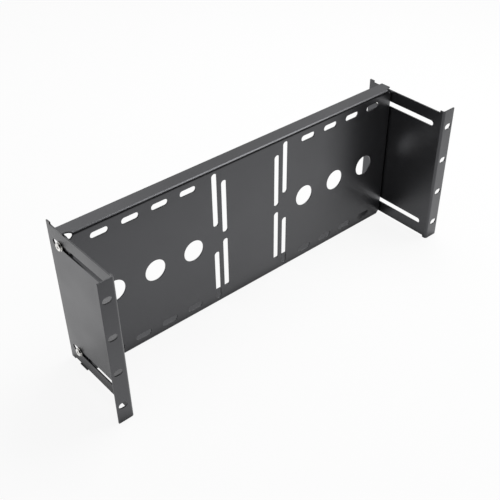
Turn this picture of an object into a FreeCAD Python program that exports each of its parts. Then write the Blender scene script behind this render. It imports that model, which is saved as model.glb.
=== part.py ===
# Rack monitor mounting bracket: a perforated panel that is clamped between two rack ears,
# set at any depth along the slots in their side plates.
#
# Millimetres. X runs across the rack, Y from the front of the rack to its back, Z up.
# The origin is the centre of the rack-hole pattern, on the rear faces of the ears.
import FreeCAD, Part
import math
import os

# Rack standard
unit_height = 44.45       # one rack unit
unit_count = 4
unit_gap = 0.8            # a front panel is this much lower than its rack space
overall_width = 480.0
hole_inset = 7.45         # rack-hole centres, in from the ears' outer edges

# Folded steel sheet
sheet = 1.5
bend_inside = 1.5         # inside radius of every fold
coat = 0.1                # powder coat on one face, left free where pieces meet

# Side brackets
ear_width = 16.6          # from the side plate's outer face to the ear's edge
plate_depth = 112.5       # from the rail face to the plate's rear edge
plate_room = 1.0          # between the recessed plate edges and the panel's flanges
recess_front = 4.5        # from the rail face to the front end of the recessed edges
rear_tab = 6.5            # full-height stop behind the recessed edges
free_corner = 0.8         # rounding of the free corners
ear_hole_length = 10.0
ear_hole_width = 7.0
adjust_slot_front = 12.0  # from the rail face to the slot's front end
adjust_slot_rear = 7.5    # from the slot's rear end to the plate's rear edge
adjust_slot_width = 6.5
adjust_slot_drop = 20.0   # slot centre line, in from the panel's top or bottom

# Panel
rear_room = 13.0          # from the side flanges to the plates' rear edges, as clamped
flange_depth = 18.7       # top and bottom flanges
side_flange_depth = 23.0
flange_overhang = 0.6     # top and bottom flanges past the plates' outer faces
relief_radius = 5.8       # rounded corner relief
relief_inset = 0.4        # its centre, inside the side flange's outer face
relief_lip = 0.8          # side flanges' ends, past the relief's rim at the fold line
small_screen = 75.0       # side of each square screw pattern that the screens have
large_screen = 100.0
screen_bridge = 9.0       # between the upper and lower slots of the small pattern
screen_margin = 5.5       # outside the slots of the large pattern
screen_slot_width = 7.0
strap_first = 84.0        # first strap slot, from the middle outwards
strap_inset = 32.7        # last strap slot, in from the side flange's outer face
strap_count = 4
strap_drop = 12.1         # strap slots' centre line, in from the panel's top or bottom
strap_slot_length = 20.0
strap_slot_width = 7.0
cable_first = 81.0        # first cable hole, from the middle outwards
cable_inset = 40.7        # last cable hole, in from the side flange's outer face
cable_count = 3
cable_hole_diameter = 25.5

# Clamping screws
screw_inset = 15.5        # from the panel's face to the screw's axis
screw_diameter = 5.0
screw_hole_room = 0.25    # all round, in the side flange
screw_tail = 0.5          # past the nut
tip_chamfer = 0.5
head_diameter = 8.8
head_height = 1.8
head_shoulder = 1.1       # rounding of the head's upper rim
recess_span = 5.0
recess_arm = 1.2
recess_depth = 1.3
washer_diameter = 10.0
washer_thickness = 1.0
washer_bevel = 0.2        # on both rims
washer_room = 0.15        # all round the screw
lock_washer_diameter = 9.2
lock_washer_thickness = 1.2
lock_washer_split = 0.9
lock_washer_slant = 20.0  # degrees
nut_across_flats = 8.0
nut_height = 4.0
nut_chamfer_angle = 30.0
thread_room = 0.05        # between the plain screw and the plain nut bore

# Worked out from the above
panel_half = (unit_count * unit_height - unit_gap) / 2
ear_edge = overall_width / 2
hole_column = ear_edge - hole_inset
plate_outer = ear_edge - ear_width
plate_inner = plate_outer - sheet
plate_half = panel_half - sheet - plate_room
bend_outside = bend_inside + sheet
side_outer = plate_inner - 2 * coat
side_inner = side_outer - sheet
side_bend = side_outer - bend_outside
flange_end = plate_outer + flange_overhang
adjust_slot_length = plate_depth - adjust_slot_front - adjust_slot_rear
adjust_row = panel_half - adjust_slot_drop
panel_setback = plate_depth - rear_room - side_flange_depth
small_slot_length = small_screen - screen_bridge
large_slot_length = 2 * (panel_half - screen_margin) - large_screen
screen_slots = {small_screen: small_slot_length, large_screen: large_slot_length}
strap_pitch = (side_outer - strap_inset - strap_first) / (strap_count - 1)
strap_row = panel_half - strap_drop
cable_pitch = (side_outer - cable_inset - cable_first) / (cable_count - 1)
screw_depth = panel_setback + screw_inset
screw_radius = screw_diameter / 2
cut_reach = 2 * sheet     # of a cutter, to each side of the face that it starts from
sides = {"left": -1, "right": 1}
levels = {"bottom": -1, "top": 1}

across = FreeCAD.Vector(1, 0, 0)
rearward = FreeCAD.Vector(0, 1, 0)
upward = FreeCAD.Vector(0, 0, 1)
origin = FreeCAD.Vector(0, 0, 0)
coincident = 1e-6


def outline(corners):
    """Closed wire through (point, radius) corners, each rounded by a tangent arc of its radius."""
    starts, ends, edges = [], [], []
    count = len(corners)
    for i, (point, radius) in enumerate(corners):
        to_last = (corners[i - 1][0] - point).normalize()
        to_next = (corners[(i + 1) % count][0] - point).normalize()
        half = to_last.getAngle(to_next) / 2
        start = point + to_last * (radius / math.tan(half))
        end = point + to_next * (radius / math.tan(half))
        starts.append(start)
        ends.append(end)
        if radius:
            inward = (to_last + to_next).normalize()
            middle = point + inward * (radius / math.sin(half) - radius)
            edges.append(Part.Arc(start, middle, end).toShape())
    for i in range(count):
        following = starts[(i + 1) % count]
        if (following - ends[i]).Length > coincident:
            edges.append(Part.LineSegment(ends[i], following).toShape())
    return Part.Wire(Part.__sortEdges__(edges))


def prism(corners, travel):
    """Solid swept from a rounded outline along a straight vector."""
    return Part.Face(outline(corners)).extrude(travel)


def through_slot(centre, long_way, length, short_way, width):
    """Cutter with round ends, as deep as needed to pass one sheet at its centre."""
    along = long_way * (length / 2)
    aside = short_way * (width / 2)
    axis = long_way.cross(short_way).normalize()
    sink = axis * -cut_reach
    corners = [centre + along + aside, centre - along + aside,
               centre - along - aside, centre + along - aside]
    return prism([(corner + sink, width / 2) for corner in corners], axis * (2 * cut_reach))


def through_hole(centre, axis, diameter):
    """Round cutter that passes one sheet at its centre."""
    return Part.makeCylinder(diameter / 2, 2 * cut_reach, centre - axis * cut_reach, axis)


def channel():
    """Panel face with its top and bottom flanges, as one fold profile run across the rack."""
    front = panel_setback
    back = panel_setback + flange_depth
    inner_front = panel_setback + sheet
    inner_half = panel_half - sheet
    section = [(back, panel_half, 0), (front, panel_half, bend_outside),
               (front, -panel_half, bend_outside), (back, -panel_half, 0),
               (back, -inner_half, 0), (inner_front, -inner_half, bend_inside),
               (inner_front, inner_half, bend_inside), (back, inner_half, 0)]
    corners = [(FreeCAD.Vector(-flange_end, y, z), radius) for y, z, radius in section]
    return prism(corners, across * (2 * flange_end))


def side_flange(side, half_height):
    """Fold and flange at one side of the panel's face."""
    front = panel_setback
    back = panel_setback + side_flange_depth
    section = [(side_bend, front, 0), (side_outer, front, bend_outside), (side_outer, back, 0),
               (side_inner, back, 0), (side_inner, front + sheet, bend_inside),
               (side_bend, front + sheet, 0)]
    corners = [(FreeCAD.Vector(side * x, y, -half_height), radius) for x, y, radius in section]
    return prism(corners, upward * (2 * half_height))


def corner_relief(side, level):
    """Round-ended cutter along the fold line at one corner of the panel."""
    end = FreeCAD.Vector(side * (side_outer - relief_inset), panel_setback, level * panel_half)
    run = flange_end - side_outer + relief_inset + relief_radius
    bar = Part.makeCylinder(relief_radius, run, end, across * side)
    return bar.fuse(Part.makeSphere(relief_radius, end))


def side_trim(side):
    """Cutter that ends the flat face at its side fold line."""
    depth = sheet + bend_outside
    corner = FreeCAD.Vector(side_bend, panel_setback - sheet, -panel_half - sheet)
    trim = Part.makeBox(flange_end, depth, 2 * (panel_half + sheet), corner)
    if side < 0:
        trim = trim.mirror(origin, across)
    return trim


def panel_openings():
    """Screen slots, strap slots and cable holes in the panel's face."""
    cutters = []
    for side in sides.values():
        for level in levels.values():
            for pattern, slot_length in screen_slots.items():
                centre = FreeCAD.Vector(side * pattern / 2, panel_setback, level * pattern / 2)
                cutters.append(through_slot(centre, upward, slot_length, across, screen_slot_width))
            for k in range(strap_count):
                x = side * (strap_first + k * strap_pitch)
                centre = FreeCAD.Vector(x, panel_setback, level * strap_row)
                cutters.append(through_slot(centre, across, strap_slot_length,
                                            upward, strap_slot_width))
        for k in range(cable_count):
            x = side * (cable_first + k * cable_pitch)
            centre = FreeCAD.Vector(x, panel_setback, 0)
            cutters.append(through_hole(centre, rearward, cable_hole_diameter))
    return cutters


def monitor_panel():
    """One folded sheet: perforated face, four flanges, relieved corners, screw holes."""
    face = channel().cut([side_trim(side) for side in sides.values()])
    relief_reach = math.sqrt(relief_radius ** 2 - (bend_outside - relief_inset) ** 2 - sheet ** 2)
    half_height = panel_half - relief_reach + relief_lip
    folded = face.fuse([side_flange(side, half_height) for side in sides.values()])
    cutters = panel_openings()
    for side in sides.values():
        for level in levels.values():
            cutters.append(corner_relief(side, level))
            centre = FreeCAD.Vector(side * side_outer, screw_depth, level * adjust_row)
            cutters.append(through_hole(centre, across, screw_diameter + 2 * screw_hole_room))
    return folded.cut(cutters).removeSplitter()


def rack_rows():
    """Heights of the rack holes, one in the middle of each rack unit."""
    lowest = -(unit_count - 1) / 2
    return [(lowest + k) * unit_height for k in range(unit_count)]


def round_edges(solid, radius, chosen):
    """Fillet the edges that the test picks out."""
    return solid.makeFillet(radius, [edge for edge in solid.Edges if chosen(edge)])


def bracket(side):
    """One folded sheet: slotted side plate and the rack ear turned out at its front edge."""
    section = [(plate_inner, plate_depth, 0), (plate_inner, -sheet, bend_outside),
               (ear_edge, -sheet, 0), (ear_edge, 0, 0),
               (plate_outer, 0, bend_inside), (plate_outer, plate_depth, 0)]
    corners = [(FreeCAD.Vector(x, y, -panel_half), radius) for x, y, radius in section]
    folded = prism(corners, upward * (2 * panel_half))

    recess_length = plate_depth - rear_tab - recess_front
    middle = adjust_slot_front + adjust_slot_length / 2
    cutters = []
    for level in levels.values():
        low = min(level * plate_half, level * (panel_half + sheet))
        corner = FreeCAD.Vector(plate_inner - sheet, recess_front, low)
        cutters.append(Part.makeBox(3 * sheet, recess_length, panel_half + sheet - plate_half, corner))
        centre = FreeCAD.Vector(plate_outer, middle, level * adjust_row)
        cutters.append(through_slot(centre, rearward, adjust_slot_length, upward, adjust_slot_width))
    for z in rack_rows():
        centre = FreeCAD.Vector(hole_column, 0, z)
        cutters.append(through_slot(centre, across, ear_hole_length, upward, ear_hole_width))
    solid = folded.cut(cutters)

    def at_free_corner(edge):
        box = edge.BoundBox
        at_end = box.XMin > ear_edge - coincident or box.YMin > plate_depth - coincident
        return at_end and box.ZLength < coincident

    solid = round_edges(solid, free_corner, at_free_corner)
    if side < 0:
        solid = solid.mirror(origin, across)
    return solid


def turned(points):
    """Solid of revolution about Z from half-profile points (radius, height)."""
    wire = Part.makePolygon([FreeCAD.Vector(r, 0, z) for r, z in points + points[:1]])
    return Part.Face(wire).revolve(origin, upward, 360)


def cross_recess():
    """Tapered cross that the driver fits, cut down from the top of the head."""
    top = head_height
    floor = head_height - recess_depth
    arms = []
    for length, breadth in ((recess_span, recess_arm), (recess_arm, recess_span)):
        corner = FreeCAD.Vector(-length / 2, -breadth / 2, floor)
        arms.append(Part.makeBox(length, breadth, recess_depth, corner))
    point = Part.makeCone(recess_arm / 2, recess_span / 2, recess_depth, FreeCAD.Vector(0, 0, floor))
    return arms[0].fuse(arms[1]).common(point).fuse(
        Part.makeCylinder(recess_arm / 2, top - floor, FreeCAD.Vector(0, 0, floor)))


def screw():
    """Low-headed screw, its head's bearing face at Z 0 and its shank pointing down."""
    head_radius = head_diameter / 2
    tip = -screw_length()
    profile = [(0, head_height, 0), (head_radius, head_height, head_shoulder), (head_radius, 0, 0),
               (screw_radius, 0, 0), (screw_radius, tip + tip_chamfer, 0),
               (screw_radius - tip_chamfer, tip, 0), (0, tip, 0)]
    corners = [(FreeCAD.Vector(r, 0, z), radius) for r, z, radius in profile]
    blank = Part.Face(outline(corners)).revolve(origin, upward, 360)
    return blank.cut(cross_recess())


def screw_length():
    """From under the head to the tip: washer, plate, flange, lock washer, nut and tail."""
    grip = washer_thickness + coat + (plate_outer - side_inner)
    return grip + lock_washer_thickness + nut_height + screw_tail


def flat_washer():
    """Plain washer from Z 0 up, its rims broken by a small bevel."""
    outer = washer_diameter / 2
    bore = screw_radius + washer_room
    rim = outer - washer_bevel
    return turned([(bore, 0), (rim, 0), (outer, washer_bevel), (outer, washer_thickness - washer_bevel),
                   (rim, washer_thickness), (bore, washer_thickness)])


def lock_washer():
    """Split spring washer, pressed flat by the nut, from Z 0 up."""
    outer = lock_washer_diameter / 2
    bore = screw_radius + washer_room
    ring = turned([(bore, 0), (outer, 0), (outer, lock_washer_thickness), (bore, lock_washer_thickness)])
    reach = 3 * lock_washer_thickness
    split = Part.makeBox(outer * 2, lock_washer_split, reach,
                         FreeCAD.Vector(0, -lock_washer_split / 2, -reach / 2))
    split.rotate(origin, across, lock_washer_slant)
    split.translate(upward * (lock_washer_thickness / 2))
    return ring.cut(split)


def nut():
    """Hexagon nut from Z 0 up, its corners chamfered at both ends."""
    corner_radius = nut_across_flats / math.sqrt(3)
    flat_radius = nut_across_flats / 2
    drop = (corner_radius - flat_radius) * math.tan(math.radians(nut_chamfer_angle))
    points = [FreeCAD.Vector(corner_radius * math.cos(k * math.pi / 3),
                             corner_radius * math.sin(k * math.pi / 3), 0) for k in range(6)]
    hexagon = Part.Face(Part.makePolygon(points + points[:1])).extrude(upward * nut_height)
    turned_blank = turned([(0, 0), (flat_radius, 0), (corner_radius, drop),
                           (corner_radius, nut_height - drop), (flat_radius, nut_height), (0, nut_height)])
    bore = Part.makeCylinder(screw_radius + thread_room, nut_height)
    return hexagon.common(turned_blank).cut(bore)


def clamp_set(side, level):
    """Screw, washers and nut at one end of one side flange, stacked along X."""
    washer_seat = plate_outer + coat
    head_seat = washer_seat + washer_thickness
    nut_seat = side_inner - lock_washer_thickness
    stack = {"screw": (screw(), head_seat, 1),
             "flat_washer": (flat_washer(), washer_seat, 1),
             "lock_washer": (lock_washer(), side_inner, -1),
             "nut": (nut(), nut_seat, -1)}
    placed = {}
    for name, (solid, seat, facing) in stack.items():
        turn = FreeCAD.Rotation(upward, across * (side * facing))
        spot = FreeCAD.Vector(side * seat, screw_depth, level * adjust_row)
        solid.Placement = FreeCAD.Placement(spot, turn)
        placed[name] = solid
    return placed


nodes = {"monitor_panel": monitor_panel()}
for side_name, side in sides.items():
    nodes[f"{side_name}_bracket"] = bracket(side)
    for level_name, level in levels.items():
        for piece, solid in clamp_set(side, level).items():
            nodes[f"{piece}_{side_name}_{level_name}"] = solid

os.makedirs("parts", exist_ok=True)
for name, solid in nodes.items():
    if not solid.isValid() or len(solid.Solids) != 1:
        raise RuntimeError(f"{name} isn't one valid solid")
    solid.exportStep(f"parts/{name}.step")
    print(name, "volume", round(solid.Volume, 1), "mm3")
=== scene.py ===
import math

import bpy
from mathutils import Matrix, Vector


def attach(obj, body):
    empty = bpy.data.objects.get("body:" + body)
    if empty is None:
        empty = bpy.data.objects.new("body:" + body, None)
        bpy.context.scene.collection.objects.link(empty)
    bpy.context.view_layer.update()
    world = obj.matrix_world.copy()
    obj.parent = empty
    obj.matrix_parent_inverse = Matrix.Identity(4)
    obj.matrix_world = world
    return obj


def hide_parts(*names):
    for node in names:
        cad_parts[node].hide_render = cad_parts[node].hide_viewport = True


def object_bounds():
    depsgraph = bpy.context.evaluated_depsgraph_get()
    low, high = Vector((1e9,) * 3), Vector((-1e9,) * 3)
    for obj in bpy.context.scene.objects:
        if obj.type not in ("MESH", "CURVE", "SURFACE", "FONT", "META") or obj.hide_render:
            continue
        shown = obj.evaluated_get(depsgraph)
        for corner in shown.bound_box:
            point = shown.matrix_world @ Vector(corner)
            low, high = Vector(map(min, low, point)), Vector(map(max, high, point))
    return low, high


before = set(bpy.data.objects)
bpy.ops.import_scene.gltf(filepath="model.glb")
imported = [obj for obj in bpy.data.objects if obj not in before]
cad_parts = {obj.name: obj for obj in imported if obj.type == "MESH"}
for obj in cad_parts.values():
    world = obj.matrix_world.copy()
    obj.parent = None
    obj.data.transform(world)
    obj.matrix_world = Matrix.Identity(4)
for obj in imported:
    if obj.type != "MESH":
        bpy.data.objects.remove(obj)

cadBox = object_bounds()
print("frame loaded:", len(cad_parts), "nodes")

mmPerMetre = 1000    # the frame is in metres


def linear(hexColour):
    # sRGB hex to the linear values that the shaders take
    parts = [int(hexColour[i:i + 2], 16) / 255 for i in (1, 3, 5)]
    return [c / 12.92 if c <= 0.04045 else ((c + 0.055) / 1.055) ** 2.4 for c in parts] + [1.0]


def addNode(tree, kind, inputs, **settings):
    node = tree.nodes.new(kind)
    for name, value in settings.items():
        setattr(node, name, value)
    for name, value in inputs.items():
        if isinstance(value, bpy.types.NodeSocket):
            tree.links.new(value, node.inputs[name])
        else:
            node.inputs[name].default_value = value
    return node


def newMaterial(name):
    material = bpy.data.materials.new(name)
    material.use_nodes = True
    material.node_tree.nodes.clear()
    return material


def selectOnly(piece):
    bpy.ops.object.select_all(action="DESELECT")
    piece.select_set(True)
    bpy.context.view_layer.objects.active = piece


# Black polyester powder coat, sprayed and baked: near-black, semi-gloss, with faint orange peel
# and patches where the gloss differs a little
coatFinish = {
    "deep": "#070708", "pale": "#0c0c0d",
    "peelMm": 2.4,         # real peel is about 0.8 mm, drawn coarser so that it shows
    "peelDetail": 2.0,
    "peelHeightMm": 0.02,
    "peelStrength": 0.2,
    "patchMm": 38,
    "patchDetail": 4.0,
    "roughness": (0.31, 0.37),
    "ior": 1.67,           # a pigmented skin reflects more than clear lacquer
    "sheen": "#f8f9ff",    # cool where it is seen square on, white at a glancing view
}
noiseSpan = {"From Min": 0.3, "From Max": 0.7}    # where most of a noise texture's values lie


def makePowderCoat():
    material = newMaterial("powder_coat_black")
    tree = material.node_tree
    place = addNode(tree, "ShaderNodeTexCoord", {}).outputs["Object"]
    peel = addNode(tree, "ShaderNodeTexNoise",
                   {"Vector": place, "Scale": mmPerMetre / coatFinish["peelMm"],
                    "Detail": coatFinish["peelDetail"]})
    patch = addNode(tree, "ShaderNodeTexNoise",
                    {"Vector": place, "Scale": mmPerMetre / coatFinish["patchMm"],
                     "Detail": coatFinish["patchDetail"]})
    low, high = coatFinish["roughness"]
    gloss = addNode(tree, "ShaderNodeMapRange",
                    {"Value": patch.outputs["Fac"], "To Min": low, "To Max": high, **noiseSpan})
    tint = addNode(tree, "ShaderNodeMix",    # its colours go in at 6 and 7 and come out at 2
                   {0: patch.outputs["Fac"], 6: linear(coatFinish["deep"]), 7: linear(coatFinish["pale"])},
                   data_type="RGBA")
    bump = addNode(tree, "ShaderNodeBump",
                   {"Height": peel.outputs["Fac"], "Strength": coatFinish["peelStrength"],
                    "Distance": coatFinish["peelHeightMm"] / mmPerMetre})
    shader = addNode(tree, "ShaderNodeBsdfPrincipled",
                     {"Base Color": tint.outputs[2], "Roughness": gloss.outputs["Result"],
                      "Normal": bump.outputs["Normal"], "IOR": coatFinish["ior"],
                      "Specular Tint": linear(coatFinish["sheen"])})
    addNode(tree, "ShaderNodeOutputMaterial", {"Surface": shader.outputs["BSDF"]})
    return material


# Bright zinc plate on steel, tumbled and passivated: pale grey metal with a faint cloudy variation
zincFinish = {
    "deep": "#c3c3c1", "pale": "#edebe7",
    "grainMm": 0.7, "grainHeightMm": 0.02, "grainStrength": 0.15,    # dents from tumbling
    "cloudMm": 3.0,
    "detail": 3.0,
    "roughness": (0.14, 0.26),
}
# Black oxide on steel, oiled: dark, duller, with browner clouds where the oil is thin
oxideFinish = {
    "deep": "#1d1d1f", "pale": "#2f2d2b",
    "grainMm": 0.5, "grainHeightMm": 0.02, "grainStrength": 0.15,    # the etch, drawn coarser to show
    "cloudMm": 2.2,
    "detail": 3.0,
    "roughness": (0.34, 0.48),
}


def makePlatedSteel(name, finish):
    material = newMaterial(name)
    tree = material.node_tree
    place = addNode(tree, "ShaderNodeTexCoord", {}).outputs["Object"]
    grain = addNode(tree, "ShaderNodeTexNoise",
                    {"Vector": place, "Scale": mmPerMetre / finish["grainMm"], "Detail": finish["detail"]})
    cloud = addNode(tree, "ShaderNodeTexNoise",
                    {"Vector": place, "Scale": mmPerMetre / finish["cloudMm"], "Detail": finish["detail"]})
    low, high = finish["roughness"]
    gloss = addNode(tree, "ShaderNodeMapRange",
                    {"Value": grain.outputs["Fac"], "To Min": low, "To Max": high, **noiseSpan})
    tint = addNode(tree, "ShaderNodeMix",
                   {0: cloud.outputs["Fac"], 6: linear(finish["deep"]), 7: linear(finish["pale"])},
                   data_type="RGBA")
    bump = addNode(tree, "ShaderNodeBump",
                   {"Height": grain.outputs["Fac"], "Strength": finish["grainStrength"],
                    "Distance": finish["grainHeightMm"] / mmPerMetre})
    shader = addNode(tree, "ShaderNodeBsdfPrincipled",
                     {"Base Color": tint.outputs[2], "Roughness": gloss.outputs["Result"],
                      "Normal": bump.outputs["Normal"], "Metallic": 1.0})
    addNode(tree, "ShaderNodeOutputMaterial", {"Surface": shader.outputs["BSDF"]})
    return material


powderCoat = makePowderCoat()
zinc = makePlatedSteel("zinc_plate_bright", zincFinish)
blackOxide = makePlatedSteel("black_oxide_steel", oxideFinish)
print("finishes made")


def softenEdges(nodeName, bodyName, edge, material):
    # the node's own shape as a new piece, with its sharp edges broken
    piece = bpy.data.objects.new(nodeName + "_finished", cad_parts[nodeName].data.copy())
    bpy.context.scene.collection.objects.link(piece)
    selectOnly(piece)
    bpy.ops.object.mode_set(mode="EDIT")
    bpy.ops.mesh.select_all(action="SELECT")
    bpy.ops.mesh.remove_doubles(threshold=edge["mergeMm"] / mmPerMetre)
    bpy.ops.object.mode_set(mode="OBJECT")
    edgeBreak = piece.modifiers.new("edgeBreak", "BEVEL")
    edgeBreak.width = edge["breakMm"] / mmPerMetre
    edgeBreak.segments = edge["segments"]
    edgeBreak.limit_method = "ANGLE"
    edgeBreak.angle_limit = math.radians(edge["sharpFrom"])
    edgeBreak.use_clamp_overlap = False    # short edges on the curves would narrow it everywhere
    edgeBreak.loop_slide = False           # even width, whatever way the flat's triangles run
    bpy.ops.object.modifier_apply(modifier=edgeBreak.name)
    bpy.ops.object.shade_smooth_by_angle(angle=math.radians(edge["sharpFrom"]))
    flatFaces = piece.modifiers.new("flatFaces", "WEIGHTED_NORMAL")    # big faces stay flat, edges roll
    flatFaces.keep_sharp = True
    bpy.ops.object.modifier_apply(modifier=flatFaces.name)
    piece.data.materials.clear()
    piece.data.materials.append(material)
    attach(piece, bodyName)
    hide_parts(nodeName)
    print(piece.name, len(piece.data.polygons), "faces")


# Folded sheets: the cut edges are broken as a coat leaves them
sheetEdge = {"breakMm": 0.22, "segments": 2, "sharpFrom": 40, "mergeMm": 0.001}
sheetBodies = {
    "monitor_panel": "panel", "left_bracket": "left_bracket", "right_bracket": "right_bracket",
}
for nodeName, bodyName in sheetBodies.items():
    softenEdges(nodeName, bodyName, sheetEdge, powderCoat)

# Fasteners: finer arrises, rolled over by the plating; all of them go with the panel
fastenerEdge = {"breakMm": 0.1, "segments": 2, "sharpFrom": 35, "mergeMm": 0.001}
fastenerFinish = {
    "screw": (zinc, "zinc_plate"), "flat_washer": (zinc, "zinc_plate"),
    "lock_washer": (blackOxide, "black_oxide"), "nut": (blackOxide, "black_oxide"),
}
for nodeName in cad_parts:
    if nodeName not in sheetBodies:
        material, slotName = fastenerFinish[nodeName.rsplit("_", 2)[0]]    # screw_left_top is a screw
        softenEdges(nodeName, "panel", fastenerEdge, material)
print("pieces finished")


def sortRays(tree):
    # what the camera sees itself, and what it sees in gloss, metal or glass
    path = addNode(tree, "ShaderNodeLightPath", {})
    mirrored = addNode(tree, "ShaderNodeMath",
                       {0: path.outputs["Is Glossy Ray"], 1: path.outputs["Is Transmission Ray"]},
                       operation="MAXIMUM")
    return path.outputs["Is Camera Ray"], mirrored.outputs[0]


# Matt white floor: nearly white to the camera, and bright where it is mirrored, with a painted contact
# shadow and painted shade towards the camera in that mirrored glow
floorSheet = {
    "size": 12.0,
    "gapMm": 0.05,                              # a hair under the lowest faces
    "colour": "#ececec",
    "whiteSeen": 0.9,                           # the rest of what is seen keeps the shadow
    "glowMirrored": 0.54,
    "paintedShadowMm": 12, "paintedShadowFall": 3.0,        # painted contact shadow: the mirrored glow falls off beside what stands on it
    "frontShadeFrom": -0.08, "frontShadeTo": -0.20,         # and forwards, as painted shade towards the camera's dark side, at these places along Y
    "frontShadeLeft": 0.45,
}


def makeFloorPaper():
    material = newMaterial("matt_white_sheet")
    tree = material.node_tree
    seen, mirrored = sortRays(tree)
    # painted contact shadow: the mirrored glow darkens where other surfaces are near
    shadowOcclusion = addNode(tree, "ShaderNodeAmbientOcclusion",
                       {"Distance": floorSheet["paintedShadowMm"] / mmPerMetre})
    paintedShadow = addNode(tree, "ShaderNodeMath",
                      {0: shadowOcclusion.outputs["AO"], 1: floorSheet["paintedShadowFall"]}, operation="POWER")
    place = addNode(tree, "ShaderNodeTexCoord", {}).outputs["Object"]
    spot = addNode(tree, "ShaderNodeSeparateXYZ", {0: place})
    # painted shade: the mirrored glow darkens towards the camera's side of the floor
    frontShade = addNode(tree, "ShaderNodeMapRange",
                   {"Value": spot.outputs["Y"],
                    "From Min": floorSheet["frontShadeTo"], "From Max": floorSheet["frontShadeFrom"],
                    "To Min": floorSheet["frontShadeLeft"], "To Max": 1.0},
                   interpolation_type="SMOOTHSTEP")
    glow = floorSheet["glowMirrored"]
    # the mirrored glow, times the painted contact shadow and the painted shade towards the camera
    for share in (mirrored, paintedShadow.outputs[0], frontShade.outputs["Result"]):
        glow = addNode(tree, "ShaderNodeMath", {0: glow, 1: share}, operation="MULTIPLY").outputs[0]
    paper = addNode(tree, "ShaderNodeBsdfDiffuse", {"Color": linear(floorSheet["colour"])})
    light = addNode(tree, "ShaderNodeEmission", {"Strength": glow})
    lit = addNode(tree, "ShaderNodeAddShader", {0: paper.outputs[0], 1: light.outputs[0]})
    white = addNode(tree, "ShaderNodeEmission", {"Strength": 1.0})
    whiteShare = addNode(tree, "ShaderNodeMath",
                         {0: seen, 1: floorSheet["whiteSeen"]}, operation="MULTIPLY")
    both = addNode(tree, "ShaderNodeMixShader",
                   {0: whiteShare.outputs[0], 1: lit.outputs[0], 2: white.outputs[0]})
    addNode(tree, "ShaderNodeOutputMaterial", {"Surface": both.outputs[0]})
    return material


lowest = cadBox[0][2]
bpy.ops.object.select_all(action="DESELECT")
bpy.ops.mesh.primitive_plane_add(size=floorSheet["size"],
                                 location=(0, 0, lowest - floorSheet["gapMm"] / mmPerMetre))
floor = bpy.context.active_object
floor.name = "studio_floor"
floor.data.materials.append(makeFloorPaper())
print("floor laid")

# White surround, which gloss mirrors as white behind the object and dark on the camera's side
surround = {
    "colour": "#ffffff",
    "fill": 0.4,                                # lights what isn't glossy
    "whiteMirrored": 0.72, "darkMirrored": 0.016,
    "whiteFrom": 0.25, "darkFrom": -0.05,       # how far back a ray points, where 1 is straight back
}

world = bpy.data.worlds.new("white_surround")
bpy.context.scene.world = world
world.use_nodes = True
tree = world.node_tree
tree.nodes.clear()
seen, mirrored = sortRays(tree)
rayWay = addNode(tree, "ShaderNodeTexCoord", {}).outputs["Generated"]
way = addNode(tree, "ShaderNodeSeparateXYZ", {0: rayWay})
sweep = addNode(tree, "ShaderNodeMapRange",
                {"Value": way.outputs["Y"],
                 "From Min": surround["darkFrom"], "From Max": surround["whiteFrom"],
                 "To Min": surround["darkMirrored"], "To Max": surround["whiteMirrored"]},
                interpolation_type="SMOOTHSTEP")
cast = addNode(tree, "ShaderNodeMix", {0: mirrored, 2: surround["fill"], 3: sweep.outputs["Result"]})
level = addNode(tree, "ShaderNodeMix", {0: seen, 2: cast.outputs[0], 3: 1.0})    # white to the camera
backdrop = addNode(tree, "ShaderNodeBackground",
                   {"Color": linear(surround["colour"]), "Strength": level.outputs[0]})
addNode(tree, "ShaderNodeOutputWorld", {"Surface": backdrop.outputs[0]})

# Soft boxes, overhead to the right and behind
softBoxes = {    # place, size, watts
    "overhead_soft_box": ((0.6, 0.1, 1.0), (1.0, 0.6), 11.5),
    "rear_soft_box": ((0.1, 0.95, 1.05), (0.7, 0.7), 1.8),
}
for boxName, (place, size, watts) in softBoxes.items():
    bpy.ops.object.light_add(type="AREA", location=place)
    softBox = bpy.context.active_object
    softBox.name = boxName
    softBox.data.shape = "RECTANGLE"
    softBox.data.size, softBox.data.size_y = size
    softBox.data.energy = watts
    softBox.rotation_euler = Vector(place).to_track_quat("Z", "Y").to_euler()    # faces the object
print("studio lit")

# Camera at the photograph's angle, worked out for a square picture
view = {
    "place": (-0.49613, -0.50346, 0.53880),
    "turn": (51.018, 0.133, -41.345),    # degrees
    "lens": 60.18, "sensor": 36,         # mm
    "shift": (-0.0200, 0.0537),
}
bpy.ops.object.camera_add(location=view["place"], rotation=[math.radians(a) for a in view["turn"]])
camera = bpy.context.active_object
camera.data.sensor_width = view["sensor"]
camera.data.lens = view["lens"]
camera.data.shift_x, camera.data.shift_y = view["shift"]
bpy.context.scene.camera = camera
bpy.context.scene.view_settings.view_transform = "Standard"
print("camera set")
